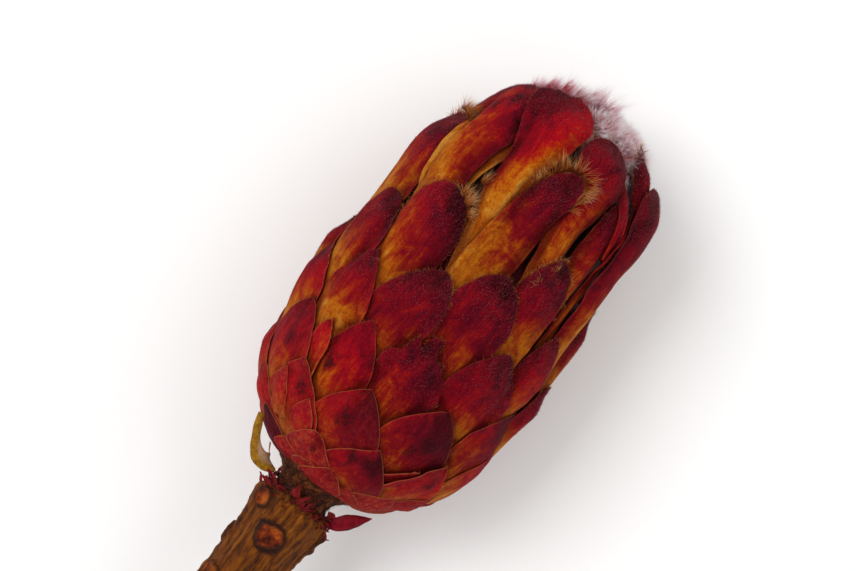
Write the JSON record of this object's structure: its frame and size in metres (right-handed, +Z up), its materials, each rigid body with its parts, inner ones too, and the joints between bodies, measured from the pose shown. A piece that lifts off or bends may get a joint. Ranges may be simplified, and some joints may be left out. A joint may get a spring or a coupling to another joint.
{
  "type": "preserved protea flower",
  "caption": "Dried protea flower head with overlapping leathery bracts around a hairy crown, on a short cut woody stem, lying on its side as a decoration.",
  "frame": {"origin": "on the table under the head, at the middle of the largest flat spot that it rests on", "axes": "+Y along the flower's axis from the stem to the tip, +Z up from the table, +X to the right when the tip points away"},
  "size_m": [0.0538, 0.1456, 0.0519],
  "materials": {
    "stem": "rough olive brown bark with orange leaf scars and brown wool at the neck",
    "bracts": "dry matt leathery red, maroon at the tips and ochre at the bases",
    "florets": "soft matt pinkish white hair",
    "dry_leaf": "dry papery ochre",
    "red_leaf": "smooth dry dark crimson"
  },
  "bodies": {
    "root": {"stem": "stem", "bracts": "bracts", "florets": "florets", "dry_leaf": "dry_leaf", "red_leaf": "red_leaf"}
  },
  "joints": []
}
